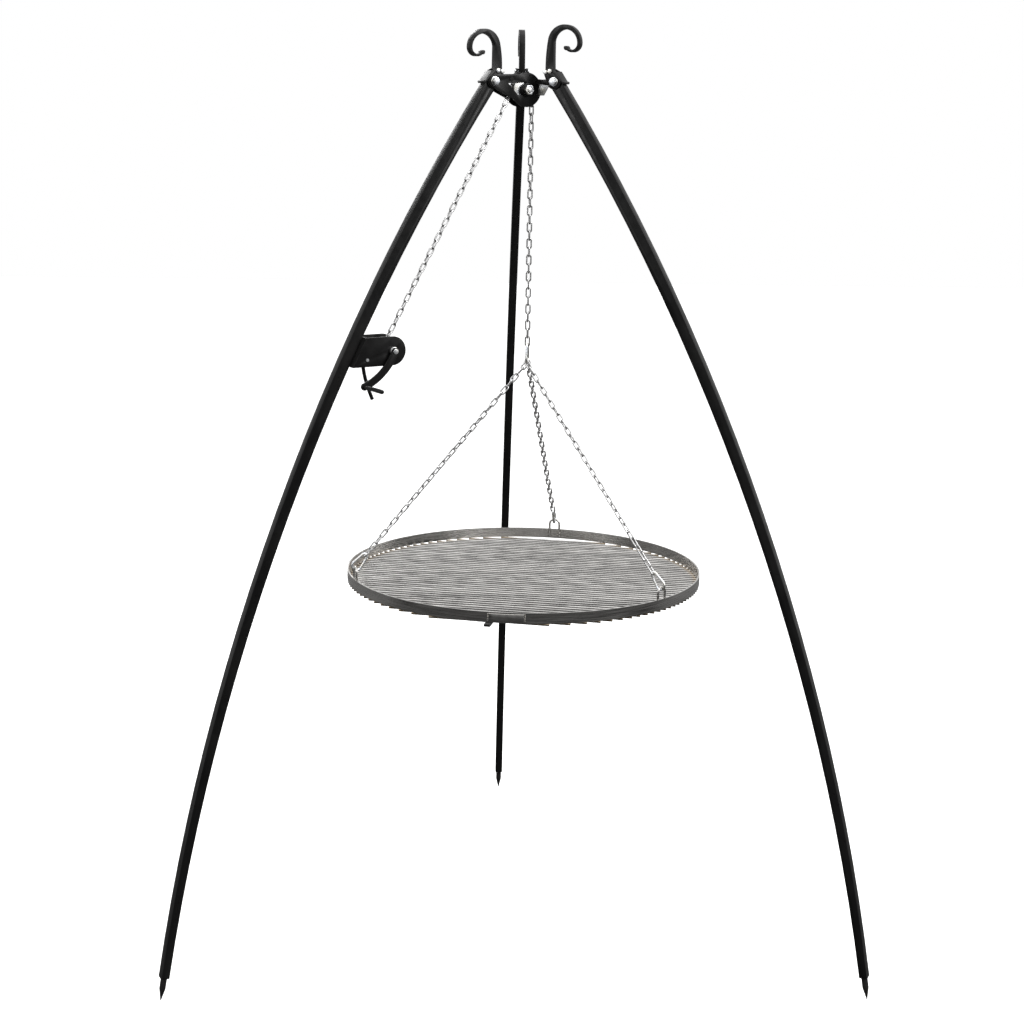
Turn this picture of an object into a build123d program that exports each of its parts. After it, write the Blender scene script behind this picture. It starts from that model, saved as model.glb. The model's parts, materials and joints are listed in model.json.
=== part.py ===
from build123d import *
import os
from math import acos, asin, atan2, cos, degrees, hypot, radians, sin, sqrt, tan

os.makedirs("parts", exist_ok=True)

# A campfire tripod: three bowed legs hinged in a hub, a chain over a pulley, a crank winch on
# the left leg, and a round grate hung on three bridle chains. Millimetres, +Z up, the ground
# at z = 0. The origin is the middle of the footprint's box; the tripod's own axis is the
# vertical line x = 0, y = axis_y, and the rear leg stands on +Y of it.

# ---- legs ------------------------------------------------------------------------------------
rear, left, right = 90.0, 210.0, 330.0          # where each leg points, seen from above
leg_azimuths = {"left": left, "right": right, "rear": rear}
axis_y = -189.565                                # tripod axis, from the middle of the footprint
leg_reach = 768.0                                # spike tip to tripod axis
bow_radius = 4015.0                              # bow of the leg's centreline
foot_lean = 9.3                                  # lean of the centreline at the tip, degrees
pivot_z = 1688.0                                 # height of the three folding pivots
leg_width = 16.0                                 # tube, across the leg's plane
leg_depth_top = 24.0                             # tube, in the leg's plane, at the pivot
leg_depth_foot = 15.5                            # and at its lower end
tube_wall = 1.5
spike_out = 44.0                                 # spike outside the tube
spike_in = 36.0                                  # spike's plug inside the tube
spike_radius = 6.0
spike_point = 23.0                               # length of the pointed end
point_flat = 0.8                                 # radius of the blunted tip
tip_drop = 0.0913                                # tip centre above the ground

# ---- fits ------------------------------------------------------------------------------------
running = 0.05                                   # radial clearance of a turning pin
free_gap = 0.4                                   # side gap between pieces that move past
bolt_radius = 4.0                                # folding bolts, M8
hex_size = 13.0                                  # across flats
nut_height = 6.5
head_height = 5.3
washer_radius = 8.5
washer_height = 1.6
shaft_radius = 5.0                               # pulley axle, M10
shaft_hex = 17.0
shaft_nut_height = 8.0
shaft_head_height = 6.5

# ---- hub -------------------------------------------------------------------------------------
plate = 3.0                                      # hub sheet
arm_plate = 4.0                                  # arms to the right and rear forks
web_plate = 2.0                                  # bright webs welded behind the arms
cheek_in = leg_width / 2 + free_gap              # inner face of each fork cheek
cheek_out = cheek_in + plate                     # outer face of each fork cheek
core_out = cheek_out + plate                     # outer face of the pulley cheeks
hub_z = 1672.0                                   # pulley axle
core_radius = 32.0
boss_radius = 12.5
boss_height = 3.0
winch_bolt_radius = 3.0
winch_bolt_step = 15.0                           # along the leg, either side of the drum's axle
pulley_pitch = 20.25                             # circle of the chain's joints on the pulley
seat_radius = 15.9                               # the flat links ride on this
slot_radius, slot_half = 13.3, 2.3               # and the upright ones in this slot
flange_radius = 25.0
groove_half = 6.2
pulley_hub_half = cheek_out - 0.2

# ---- scrolls ---------------------------------------------------------------------------------
scroll_foot_z = 1701.6
scroll_near, scroll_far = 50.6, 66.4             # the upright, from the tripod axis
scroll_width = 11.5
scroll_block = 9.0                               # height of the block between the cheeks
crook_r, crook_z, crook_radius = 89.0, 1755.0, 29.0
curl_radius = 14.5
scroll_rise = {"left": -6.0, "right": 4.0, "rear": -5.0}  # each is bent by hand to its own height
screw_radius = 2.4

# ---- chain -----------------------------------------------------------------------------------
wire = 1.5                                       # radius of the link's wire
link_inside = 16.5                               # inner length of a link
link_half_width = 4.0                            # centreline half width
pitch = 16.0
joint_reach = link_inside / 2 + wire - pitch / 2  # from a joint to the link's end wire
hook_wire = 2.25                                 # radius of a carabiner's wire
hook_back = wire + hook_wire + 0.35 - joint_reach
flat_half = link_inside / 2 + wire               # from a flat link's middle to its end wire
upright_half = pitch - flat_half                 # and from an upright link's middle to there

# ---- carabiners ------------------------------------------------------------------------------
hook_big, hook_small = 9.5, 5.5                  # centreline radii of its two ends
hook_span = 22.5                                 # between their centres
tongue_half, slot_half_gate = 0.75, 1.05
gate_pin_radius = 0.8

# ---- winch, in the left leg's plane: distance from the tripod axis, height -------------------
winch_r, winch_z, winch_end = 290.0, 1196.0, 27.0
winch_half = 23.0
sheet = 3.0
barrel_radius = 9.0
drum_pitch = 16.13                               # circle of the chain's joints on the drum
drum_flange = 22.5
drum_half = 17.0
axle_radius = 5.0
crank_gap = 7.0                                  # from the cheek to the crank arm
crank_plate = 4.0
crank_end_r, crank_end_z, crank_bow = 354.6, 1134.3, 9.0
crank_width = 14.0
handle_radius = 4.0
handle_length = 68.0
run_side = -9.5                                  # where the chain meets the drum, along its axle
wrap_step = 11.8                                 # from one turn of chain to the next

# ---- grate -----------------------------------------------------------------------------------
grate_turned = -13.5                             # rods' direction, seen from above
rim_radius = 350.0
rim_top = 741.0
rim_height = 20.0
rim_plate = 3.0
rod_radius = 2.5
rod_pitch = 15.0
bar_width, bar_height = 12.0, 5.0
bail_z, bail_half, bail_wire = 752.0, 10.5, 2.25
lap_azimuth, lap_length, lap_height, lap_plate = -97.5, 66.0, 15.0, 1.6
hoist_z = 1160.0                                 # centre of the hoist carabiner's big end


# ================================ helpers =====================================================
def leg_plane(azimuth, side=0.0):
    """Upright plane through the tripod axis: x outwards along the leg, y up, moved sideways."""
    a = radians(azimuth)
    across = Vector(sin(a), -cos(a), 0)
    return Plane(origin=Vector(0, axis_y, 0) + across * side, x_dir=(cos(a), sin(a), 0), z_dir=across)


def place(azimuth, r, z, side=0.0):
    """Point at distance r out along a leg's plane, height z, moved sideways."""
    return leg_plane(azimuth, side).from_local_coords(Vector(r, z, 0))


bow_r = leg_reach - bow_radius * cos(radians(foot_lean))
bow_z = tip_drop - bow_radius * sin(radians(foot_lean))


def on_leg(angle, out=0.0):
    """Point on a leg's centreline at an angle of its bow, moved outwards by out."""
    a = radians(angle)
    return (bow_r + (bow_radius + out) * cos(a), bow_z + (bow_radius + out) * sin(a))


pivot_angle = degrees(asin((pivot_z - bow_z) / bow_radius))
pivot_r = on_leg(pivot_angle)[0]
tube_angle = foot_lean + degrees(spike_out / bow_radius)


def leg_depth(angle):
    share = (angle - tube_angle) / (pivot_angle - tube_angle)
    return leg_depth_foot + (leg_depth_top - leg_depth_foot) * share


def near_pivot(along, out):
    """Point by the pivot, in the leg's own directions: up along the leg, and outwards."""
    a = radians(pivot_angle)
    return (pivot_r - along * sin(a) + out * cos(a), pivot_z + along * cos(a) + out * sin(a))


def leg_outline(inset, low_angle):
    """Side view of the tapering leg, its top rounded about the pivot; call inside BuildLine."""
    mid_angle = (low_angle + pivot_angle) / 2
    outer = [on_leg(a, leg_depth(a) / 2 - inset) for a in (low_angle, mid_angle, pivot_angle)]
    inner = [on_leg(a, inset - leg_depth(a) / 2) for a in (pivot_angle, mid_angle, low_angle)]
    crown = near_pivot(leg_depth_top / 2 - inset, 0)
    ThreePointArc(*outer)
    ThreePointArc(outer[2], crown, inner[0])
    ThreePointArc(*inner)
    Line(inner[2], outer[0])


def hexagon(across_flats):
    return RegularPolygon(radius=across_flats / 2, side_count=6, major_radius=False)


def save(part, name):
    part.label = name
    export_step(part, f"parts/{name}.step")


# ================================ chain =======================================================
with BuildPart() as link:
    straight = link_inside / 2 + wire - link_half_width
    with BuildLine(Plane.XZ):
        Line((link_half_width, 0), (link_half_width, straight))
        ThreePointArc((link_half_width, straight), (0, straight + link_half_width),
                      (-link_half_width, straight))
        Line((-link_half_width, straight), (-link_half_width, -straight))
        ThreePointArc((-link_half_width, -straight), (0, -straight - link_half_width),
                      (link_half_width, -straight))
        Line((link_half_width, -straight), (link_half_width, 0))
    with BuildSketch(Plane.XY):
        with Locations((link_half_width, 0)):
            Circle(wire)
    sweep()


def link_places(start, end, first_wide, last_wide=None):
    """A place for each link of a straight chain from start to end. The first link is wide along
    first_wide; the chain is twisted evenly so that the last one is wide along last_wide."""
    run = end - start
    count = round(run.length / pitch)
    along = run.normalized()
    across = (first_wide - along * first_wide.dot(along)).normalized()
    other = along.cross(across)
    twist = 0.0
    if last_wide is not None:
        wanted = degrees(atan2(last_wide.dot(other), last_wide.dot(across)))
        twist = (wanted - 90.0 * (count - 1) + 90.0) % 180.0 - 90.0
    places = []
    for i in range(count):
        turn = radians(90.0 * i + twist * i / max(count - 1, 1))
        wide = across * cos(turn) + other * sin(turn)
        centre = start + run * ((i + 0.5) / count)
        places.append(Location(Plane(origin=centre, x_dir=wide, z_dir=along)))
    return places


def save_chain(places, name):
    with BuildPart() as chain:
        with Locations(*places):
            add(link.part)
    save(chain.part, name)


# ================================ legs ========================================================
for name, azimuth in leg_azimuths.items():
    with BuildPart() as leg_tube:
        with BuildSketch(leg_plane(azimuth)):
            with BuildLine():
                leg_outline(0, tube_angle)
            make_face()
        extrude(amount=leg_width / 2, both=True)
        with BuildSketch(leg_plane(azimuth)):
            with BuildLine():
                leg_outline(tube_wall, tube_angle - 0.1)
            make_face()
        extrude(amount=leg_width / 2 - tube_wall, both=True, mode=Mode.SUBTRACT)
        with BuildSketch(leg_plane(azimuth)):
            with Locations((pivot_r, pivot_z)):
                Circle(bolt_radius + running)
        extrude(amount=leg_width, both=True, mode=Mode.SUBTRACT)
        if name == "left":
            # two screw holes for the winch, through the inner wall only
            for step in (-winch_bolt_step, winch_bolt_step):
                a = degrees(asin((winch_z - bow_z) / bow_radius)) + degrees(step / bow_radius)
                with BuildSketch(Plane(origin=place(azimuth, *on_leg(a)), x_dir=leg_plane(azimuth).z_dir,
                                       z_dir=place(azimuth, *on_leg(a, -1)) - place(azimuth, *on_leg(a)))):
                    Circle(winch_bolt_radius + running)
                extrude(amount=leg_depth_top, mode=Mode.SUBTRACT)
    save(leg_tube.part, f"leg_tube_{name}")

    with BuildPart() as pivot_sleeve:
        with BuildSketch(leg_plane(azimuth)):
            with Locations((pivot_r, pivot_z)):
                Circle(bolt_radius + 2.2)
                Circle(bolt_radius + running, mode=Mode.SUBTRACT)
        extrude(amount=leg_width / 2 - tube_wall - 0.02, both=True)
    save(pivot_sleeve.part, f"pivot_sleeve_{name}")

    # the spike points along the leg's lower end; its rectangular plug fills the tube
    tube_end = place(azimuth, *on_leg(tube_angle))
    down = (tube_end - place(azimuth, *on_leg(tube_angle + 0.1))).normalized()
    with BuildPart() as foot_spike:
        with BuildSketch(Plane(origin=tube_end, x_dir=leg_plane(azimuth).z_dir, z_dir=down)):
            Circle(spike_radius)
        extrude(amount=spike_out - spike_point)
        with BuildSketch(Plane(origin=tube_end + down * (spike_out - spike_point), z_dir=down,
                               x_dir=leg_plane(azimuth).z_dir)):
            Circle(spike_radius)
        with BuildSketch(Plane(origin=tube_end + down * spike_out, z_dir=down,
                               x_dir=leg_plane(azimuth).z_dir)):
            Circle(point_flat)
        loft()
        with BuildSketch(Plane(origin=tube_end, x_dir=leg_plane(azimuth).z_dir, z_dir=-down)):
            Rectangle(leg_width - 2 * tube_wall + 0.04, leg_depth_foot - 2 * tube_wall + 0.04)
        extrude(amount=spike_in)
    save(foot_spike.part, f"foot_spike_{name}")

# ================================ hub =========================================================
# Each leg turns in a fork: two cheeks, and a strap over the leg's outer face that stops the leg
# from spreading further. A scroll stands between the cheeks above the leg.
cheek_corners = [(53.5, 1705.5, 4.5), (62.5, 1707.0, 4.5),
                 (*near_pivot(9, 12.4), 2.9), (*near_pivot(-3, 12.4), 2.9)]
screw_spots = [(53.0, 1705.8), (62.5, 1707.0)]
strap_top, strap_bottom = 12.0, -13.0            # along the leg from the pivot


def fork_cheek():
    """Side view of a fork cheek; call inside BuildSketch."""
    with Locations((pivot_r, pivot_z)):
        Circle(14.0)
    for r, z, radius in cheek_corners:
        with Locations((r, z)):
            Circle(radius)
    make_hull()


def cheek_holes():
    with Locations((pivot_r, pivot_z)):
        Circle(bolt_radius + running)
    with Locations(*screw_spots):
        Circle(screw_radius + running)


for name, azimuth in leg_azimuths.items():
    with BuildPart() as fork:
        for side in (cheek_in, -cheek_out):
            with BuildSketch(leg_plane(azimuth, side)):
                fork_cheek()
            extrude(amount=plate)
        with BuildSketch(leg_plane(azimuth)):
            strap = leg_depth_top / 2 + 0.3
            with BuildLine():
                Polyline(near_pivot(strap_top, strap), near_pivot(strap_bottom, strap),
                         near_pivot(strap_bottom, strap + plate), near_pivot(strap_top, strap + plate),
                         close=True)
            make_face()
            with Locations(near_pivot(strap_bottom, strap + 2.6)):
                Circle(2.6)
        extrude(amount=cheek_out, both=True)
        with BuildSketch(leg_plane(azimuth)):
            cheek_holes()
        extrude(amount=cheek_out + 1, both=True, mode=Mode.SUBTRACT)
    save(fork.part, f"fork_{name}")

    # the scroll: an upright bar that tapers into a crook, a curl and a small eye
    high = crook_z + scroll_rise[name]
    curl_r = crook_r + crook_radius - curl_radius

    def on_crook(angle, out):
        return (crook_r + (crook_radius + out) * cos(radians(angle)),
                high + (crook_radius + out) * sin(radians(angle)))

    def on_curl(angle, out):
        return (curl_r + (curl_radius + out) * cos(radians(angle)),
                high + (curl_radius + out) * sin(radians(angle)))

    with BuildPart() as scroll:
        with BuildSketch(leg_plane(azimuth)):
            with BuildLine():
                Line((scroll_near, scroll_foot_z), (scroll_far, scroll_foot_z))
                # the inner side of crook and curl
                ThreePointArc((scroll_far, scroll_foot_z), (scroll_far - 0.6, scroll_foot_z + 24),
                              on_crook(176, -5.6))
                ThreePointArc(on_crook(176, -5.6), on_crook(95, -4.6), on_crook(0, -3.0))
                ThreePointArc(on_curl(0, -3.0), on_curl(-62, -2.4), on_curl(-128, -1.8))
                # round the eye, and back along the outer side
                ThreePointArc(on_curl(-128, -1.8), on_curl(-152, -2.4), on_curl(-158, 2.2))
                ThreePointArc(on_curl(-158, 2.2), on_curl(-146, 4.4), on_curl(-128, 2.2))
                ThreePointArc(on_curl(-128, 2.2), on_curl(-62, 2.6), on_curl(0, 3.0))
                ThreePointArc(on_crook(0, 3.0), on_crook(85, 4.4), on_crook(172, 6.0))
                ThreePointArc(on_crook(172, 6.0), (scroll_near - 0.2, scroll_foot_z + 24),
                              (scroll_near, scroll_foot_z))
            make_face()
        extrude(amount=scroll_width / 2, both=True)
        with BuildSketch(leg_plane(azimuth)):
            with Locations(((scroll_near + scroll_far) / 2, scroll_foot_z + scroll_block / 2)):
                Rectangle(scroll_far - scroll_near, scroll_block)
        extrude(amount=cheek_in - 0.02, both=True)
        with BuildSketch(leg_plane(azimuth)):
            cheek_holes()
        extrude(amount=cheek_in + 1, both=True, mode=Mode.SUBTRACT)
    save(scroll.part, f"scroll_{name}")


def core_outline():
    """Side view of a pulley cheek: a round end and an arm with a window; call inside BuildSketch."""
    with Locations((0, hub_z)):
        Circle(core_radius)
    with BuildSketch(mode=Mode.PRIVATE) as upper_band:
        with Locations((pivot_r, pivot_z)):
            Circle(12.0)
        with Locations((2, 1691.0)):
            Circle(10.0)
        make_hull()
    with BuildSketch(mode=Mode.PRIVATE) as lower_band:
        with Locations((pivot_r, pivot_z)):
            Circle(12.0)
        with Locations((22, 1662)):
            Circle(9.0)
        make_hull()
    add(upper_band.sketch)
    add(lower_band.sketch)
    Polygon((41, 1684), (1, 1686), (1, 1662), (19, 1662), align=None, mode=Mode.SUBTRACT)
    with Locations((0, hub_z)):
        Circle(boss_radius)
    with Locations((0, hub_z)):
        Circle(shaft_radius + 0.02, mode=Mode.SUBTRACT)
    with Locations((pivot_r, pivot_z)):
        Circle(bolt_radius + 0.02, mode=Mode.SUBTRACT)


spacer_spot = (34.0, 1692.0)
for name, side, boss_side in (("front", -core_out, -core_out - boss_height), ("back", cheek_out, core_out)):
    with BuildPart() as pulley_cheek:
        with BuildSketch(leg_plane(left, side)):
            core_outline()
            with Locations(spacer_spot):
                Circle(3.02, mode=Mode.SUBTRACT)
        extrude(amount=plate)
        with BuildSketch(leg_plane(left, boss_side)):
            with Locations((0, hub_z)):
                Circle(boss_radius)
                Circle(shaft_radius + 0.02, mode=Mode.SUBTRACT)
        extrude(amount=boss_height)
    save(pulley_cheek.part, f"pulley_cheek_{name}")

with BuildPart() as cheek_spacer:
    with BuildSketch(leg_plane(left)):
        with Locations(spacer_spot):
            Circle(4.5)
    extrude(amount=cheek_out, both=True)
    with BuildSketch(leg_plane(left)):
        with Locations(spacer_spot):
            Circle(3.0)
    extrude(amount=core_out, both=True)
    with BuildSketch(leg_plane(left, core_out), leg_plane(left, -core_out - 1.6)):
        with Locations(spacer_spot):
            Circle(4.2)
    extrude(amount=1.6)
save(cheek_spacer.part, "cheek_spacer")

# arms from the pulley cheeks out to the other two forks, each with a bright web behind it
web_low = 1661.8


def off_pulley_cheek(face_side):
    """Plane of a pulley cheek's outer face, that faces away from the pulley."""
    face = leg_plane(left, face_side)
    return Plane(origin=face.origin, z_dir=face.z_dir if face_side > 0 else -face.z_dir)


for name, azimuth, side, web_side, face_side in (
    ("right", right, -cheek_out - arm_plate, -cheek_out - arm_plate - web_plate, -core_out),
    ("rear", rear, cheek_out, cheek_out + arm_plate, core_out),
):
    with BuildPart() as hub_arm:
        with BuildSketch(leg_plane(azimuth, side)):
            with BuildLine():
                Line((8, 1684.5), (58, 1680.5))
                Line((58, 1680.5), (pivot_r, pivot_z - 12))
                Line((pivot_r, pivot_z - 12), (pivot_r, pivot_z + 12))
                Line((pivot_r, pivot_z + 12), (60, pivot_z + 9))
                ThreePointArc((60, pivot_z + 9), (38, 1691.5), (8, 1697))
                Line((8, 1697), (8, 1684.5))
            make_face()
            with Locations((pivot_r, pivot_z)):
                Circle(12.0)
                Circle(bolt_radius + 0.02, mode=Mode.SUBTRACT)
        extrude(amount=arm_plate)
        split(bisect_by=off_pulley_cheek(face_side), keep=Keep.TOP)
    save(hub_arm.part, f"hub_arm_{name}")

    with BuildPart() as hub_web:
        with BuildSketch(leg_plane(azimuth, web_side)):
            Polygon((8, web_low), (37, web_low), (47, 1679), (44, 1689), (8, 1689), align=None)
        extrude(amount=web_plate)
        split(bisect_by=off_pulley_cheek(face_side), keep=Keep.TOP)
    save(hub_web.part, f"hub_web_{name}")

# pulley and its axle
with BuildPart() as pulley:
    with BuildSketch(leg_plane(left)):
        with Locations((0, hub_z)):
            Circle(9.5)
    extrude(amount=pulley_hub_half, both=True)
    with BuildSketch(leg_plane(left)):
        with Locations((0, hub_z)):
            Circle(seat_radius)
    extrude(amount=groove_half, both=True)
    for side in (groove_half, -groove_half - 2.6):
        with BuildSketch(leg_plane(left, side)):
            with Locations((0, hub_z)):
                Circle(flange_radius)
        extrude(amount=2.6)
    with BuildSketch(leg_plane(left)):
        with Locations((0, hub_z)):
            Circle(seat_radius + 1)
            Circle(slot_radius, mode=Mode.SUBTRACT)
    extrude(amount=slot_half, both=True, mode=Mode.SUBTRACT)
    with BuildSketch(leg_plane(left)):
        with Locations((0, hub_z)):
            Circle(shaft_radius + running)
    extrude(amount=20, both=True, mode=Mode.SUBTRACT)
save(pulley.part, "pulley")

axle_face = core_out + boss_height
with BuildPart() as pulley_axle:
    with BuildSketch(leg_plane(left, -axle_face - shaft_nut_height - 2)):
        with Locations((0, hub_z)):
            Circle(shaft_radius)
    extrude(amount=2 * axle_face + shaft_nut_height + 2)
    with BuildSketch(leg_plane(left, axle_face)):
        with Locations((0, hub_z)):
            hexagon(shaft_hex)
    extrude(amount=shaft_head_height)
save(pulley_axle.part, "pulley_axle")

with BuildPart() as pulley_nut:
    with BuildSketch(leg_plane(left, -axle_face - shaft_nut_height)):
        with Locations((0, hub_z)):
            hexagon(shaft_hex)
            Circle(shaft_radius, mode=Mode.SUBTRACT)
    extrude(amount=shaft_nut_height)
save(pulley_nut.part, "pulley_nut")

# folding pivots: the head is on each leg's front or left side
near_faces = {"left": -core_out, "right": cheek_out, "rear": -cheek_out}
far_faces = {"left": core_out, "right": -cheek_out - arm_plate, "rear": cheek_out + arm_plate}
with BuildPart() as pivot_bolts:
    for name, azimuth in leg_azimuths.items():
        sign = 1 if near_faces[name] > 0 else -1
        head = near_faces[name] + sign * washer_height
        tip = far_faces[name] - sign * (washer_height + nut_height + 2)
        with BuildSketch(leg_plane(azimuth, min(head, tip))):
            with Locations((pivot_r, pivot_z)):
                Circle(bolt_radius)
        extrude(amount=abs(head - tip))
        with BuildSketch(leg_plane(azimuth, head if sign > 0 else head - head_height)):
            with Locations((pivot_r, pivot_z)):
                hexagon(hex_size)
        extrude(amount=head_height)
save(pivot_bolts.part, "pivot_bolts")

with BuildPart() as pivot_nuts:
    for name, azimuth in leg_azimuths.items():
        sign = 1 if near_faces[name] > 0 else -1
        low = far_faces[name] - sign * washer_height
        with BuildSketch(leg_plane(azimuth, low - nut_height if sign > 0 else low)):
            with Locations((pivot_r, pivot_z)):
                hexagon(hex_size)
                Circle(bolt_radius, mode=Mode.SUBTRACT)
        extrude(amount=nut_height)
save(pivot_nuts.part, "pivot_nuts")

with BuildPart() as pivot_washers:
    for name, azimuth in leg_azimuths.items():
        sign = 1 if near_faces[name] > 0 else -1
        for face, way in ((near_faces[name], sign), (far_faces[name], -sign)):
            with BuildSketch(leg_plane(azimuth, face if way > 0 else face - washer_height)):
                with Locations((pivot_r, pivot_z)):
                    Circle(washer_radius)
                    Circle(bolt_radius, mode=Mode.SUBTRACT)
            extrude(amount=washer_height)
save(pivot_washers.part, "pivot_washers")

with BuildPart() as scroll_screws:
    for name, azimuth in leg_azimuths.items():
        for side, radius, length in ((-cheek_out, screw_radius, 2 * cheek_out),
                                     (cheek_out, 4.2, 2.6), (-cheek_out - 2.6, 4.2, 2.6)):
            with BuildSketch(leg_plane(azimuth, side)):
                with Locations(*screw_spots):
                    Circle(radius)
            extrude(amount=length)
save(scroll_screws.part, "scroll_screws")

# ================================ chain over the pulley and down to the hoist ==================
# Over a wheel the links lie flat and upright by turns, and turn about the flat ones' end wires.
across = leg_plane(left).z_dir
in_plane = leg_plane(left).x_dir


def turn_of(half, radius):
    """Angle at the wheel's axle that a link of this half length spans."""
    return 2 * degrees(asin(half / radius))


def on_circle(r, z, radius, angle, side=0.0):
    return place(left, r + radius * cos(radians(angle)), z + radius * sin(radians(angle)), side)


def wheel_places(joints, first_flat):
    """Places of links between neighbouring joints, flat and upright by turns."""
    places = []
    for i in range(len(joints) - 1):
        along = (joints[i + 1] - joints[i]).normalized()
        flat = (i % 2 == 0) == first_flat
        wide = across if flat else along.cross(across)
        middle = (joints[i] + joints[i + 1]) * 0.5
        places.append(Location(Plane(origin=middle, x_dir=wide, z_dir=along)))
    return places


flat_turn = turn_of(flat_half, pulley_pitch)
upright_turn = turn_of(upright_half, pulley_pitch)
pulley_angles = [180.0, 180.0 - flat_turn, 180.0 - flat_turn - upright_turn,
                 180.0 - 2 * flat_turn - upright_turn]
pulley_joints = [on_circle(0, hub_z, pulley_pitch, a) for a in pulley_angles]
save_chain(wheel_places(pulley_joints, True), "chain_on_pulley")

hang = pulley_joints[0]                          # the load hangs straight down from here
hoist_azimuth = grate_turned + 90                # the hoist carabiner's plane, seen from above
hoist = Vector(hang.X, hang.Y, hoist_z)
hoist_wide = Vector(cos(radians(hoist_azimuth)), sin(radians(hoist_azimuth)), 0)
hoist_across = Vector(0, 0, 1).cross(hoist_wide)
drop_start = hang + Vector(0, 0, joint_reach)
drop_end = hoist + Vector(0, 0, hook_span + hook_small - hook_back)
drop_places = link_places(drop_start, drop_end, in_plane, hoist_across)
save_chain(drop_places[:1], "chain_top_link")
save_chain(drop_places[1:-1], "chain_drop")
save_chain(drop_places[-1:], "chain_end_link")

# from the pulley down to the winch drum, and round the drum
leave_angle = radians(pulley_angles[3])
gap_r = winch_r - pulley_pitch * cos(leave_angle)
gap_z = hub_z + pulley_pitch * sin(leave_angle) - winch_z
meet_angle = degrees(atan2(gap_r, gap_z)) + degrees(asin(drum_pitch / hypot(gap_r, gap_z)))
meet = on_circle(winch_r, winch_z, drum_pitch, meet_angle, run_side)
run = (meet - pulley_joints[3]).normalized()
run_start = pulley_joints[3] - run * joint_reach
run_upright = across.cross(run)
odd = round((meet - run_start).length / pitch) % 2 == 1
run_end = meet + run * joint_reach if odd else meet - run * joint_reach
save_chain(link_places(run_start, run_end, run_upright), "chain_winch_run")

drum_joints = [meet]
drum_angle, drum_side, flat = meet_angle, run_side, odd
for i in range(10):
    step = turn_of(flat_half if flat else upright_half, drum_pitch)
    drum_angle -= step
    drum_side += wrap_step * step / 360.0
    drum_joints.append(on_circle(winch_r, winch_z, drum_pitch, drum_angle, drum_side))
    flat = not flat
save_chain(wheel_places(drum_joints, odd), "chain_on_drum")

# ================================ winch =======================================================
winch_angle = degrees(asin((winch_z - bow_z) / bow_radius))
leg_at_winch = on_leg(winch_angle)
leg_face = leg_depth(winch_angle) / 2 + 0.6      # from the leg's centreline to the housing's back
winch_bolt_seat = leg_face + sheet + 0.15        # from the leg's centreline to the bolts' heads


def beside_leg(z, off):
    """Distance from the tripod axis of a line parallel to the leg by the winch, off inwards."""
    a = radians(winch_angle)
    return leg_at_winch[0] - (z - leg_at_winch[1]) * tan(a) - off / cos(a)


hook_pin_spot = (344.0, 1182.0)


def housing_outline(off):
    """Side view of the winch housing, from off beside the leg; call inside BuildLine."""
    top, bottom = winch_z + winch_end, winch_z - winch_end
    Line((beside_leg(top, off), top), (winch_r, top))
    ThreePointArc((winch_r, top), (winch_r - winch_end, winch_z), (winch_r, bottom))
    Polyline((winch_r, bottom), (beside_leg(bottom, off), bottom), (beside_leg(top, off), top))


with BuildPart() as winch_housing:
    with BuildSketch(leg_plane(left)):
        with BuildLine():
            housing_outline(leg_face)
        make_face()
    extrude(amount=winch_half, both=True)
    with BuildSketch(leg_plane(left)):
        with BuildLine():
            Polyline((beside_leg(winch_z + 40, leg_face + sheet), winch_z + 40), (winch_r - 40, winch_z + 40),
                     (winch_r - 40, winch_z - 40), (beside_leg(winch_z - 40, leg_face + sheet), winch_z - 40),
                     close=True)
        make_face()
    extrude(amount=winch_half - sheet, both=True, mode=Mode.SUBTRACT)
    with BuildSketch(leg_plane(left)):
        with Locations((winch_r, winch_z)):
            Circle(axle_radius + running)
        with Locations(hook_pin_spot):
            Circle(3.0)
    extrude(amount=winch_half + 1, both=True, mode=Mode.SUBTRACT)
    for step in (-winch_bolt_step, winch_bolt_step):
        a = winch_angle + degrees(step / bow_radius)
        inward = place(left, *on_leg(a, -1)) - place(left, *on_leg(a))
        with BuildSketch(Plane(origin=place(left, *on_leg(a)), x_dir=across, z_dir=inward)):
            Circle(winch_bolt_radius + running)
        extrude(amount=leg_depth_top, mode=Mode.SUBTRACT)
save(winch_housing.part, "winch_housing")

with BuildPart() as winch_bolts:
    for step in (-winch_bolt_step, winch_bolt_step):
        a = winch_angle + degrees(step / bow_radius)
        inward = place(left, *on_leg(a, -1)) - place(left, *on_leg(a))
        with BuildSketch(Plane(origin=place(left, *on_leg(a)), x_dir=across, z_dir=inward)):
            Circle(winch_bolt_radius)
        extrude(amount=winch_bolt_seat)
        with BuildSketch(Plane(origin=place(left, *on_leg(a, -winch_bolt_seat)), x_dir=across, z_dir=inward)):
            hexagon(10.0)
        extrude(amount=4.0)
save(winch_bolts.part, "winch_bolts")

with BuildPart() as hook_pin:
    with BuildSketch(leg_plane(left)):
        with Locations(hook_pin_spot):
            Circle(2.98)
    extrude(amount=winch_half + 1.5, both=True)
save(hook_pin.part, "hook_pin")

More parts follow.
